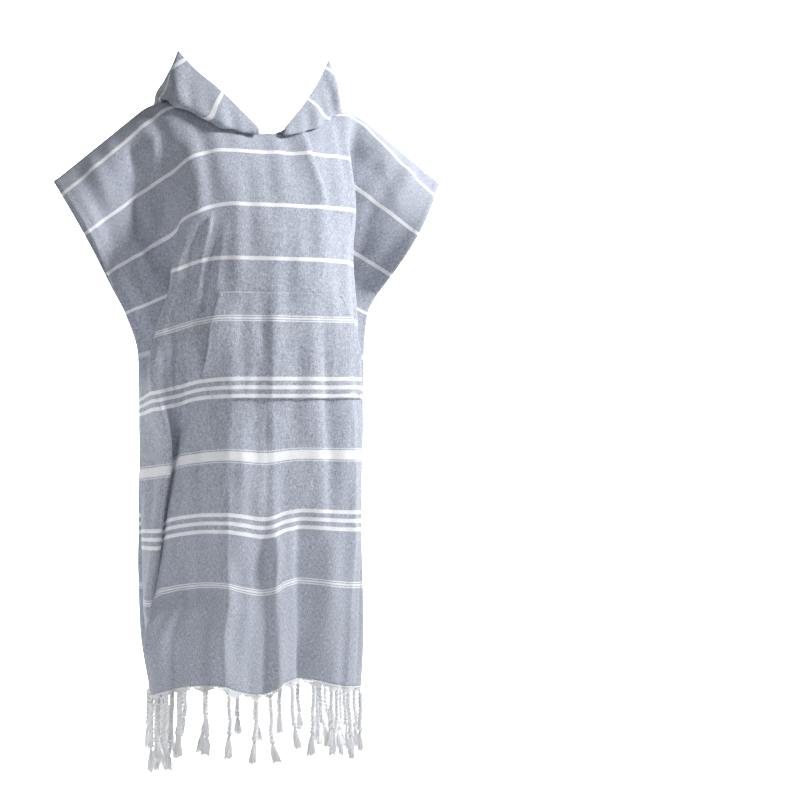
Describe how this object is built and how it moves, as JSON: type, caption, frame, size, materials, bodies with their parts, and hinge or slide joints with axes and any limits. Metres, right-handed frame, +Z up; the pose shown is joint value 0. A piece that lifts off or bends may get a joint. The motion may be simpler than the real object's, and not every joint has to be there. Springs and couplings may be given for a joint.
{
  "type": "hooded bath poncho",
  "caption": "Knee-length bath poncho of striped flat-weave cotton with a folded-back hood, a front pocket and a knotted fringe.",
  "frame": {"origin": "middle of the shoulder line at the neck, where the wearer's shoulders hold the garment", "axes": "+Z up, -Y to the front of the garment, +X to the right as seen from the front; left and right in names are as seen from the front"},
  "size_m": [0.7977, 0.3251, 1.3064],
  "materials": {
    "front_cloth": "matte flat weave",
    "back_cloth": "matte flat weave",
    "hood_left_cloth": "matte flat weave",
    "hood_right_cloth": "matte flat weave",
    "pocket_cloth": "matte flat weave",
    "fringe_front_yarn": "matte twisted cotton",
    "fringe_back_yarn": "matte twisted cotton"
  },
  "bodies": {
    "root": {"front": "front_cloth", "back": "back_cloth", "hood_left": "hood_left_cloth", "hood_right": "hood_right_cloth", "pocket": "pocket_cloth", "fringe_front": "fringe_front_yarn", "fringe_back": "fringe_back_yarn"}
  },
  "joints": []
}
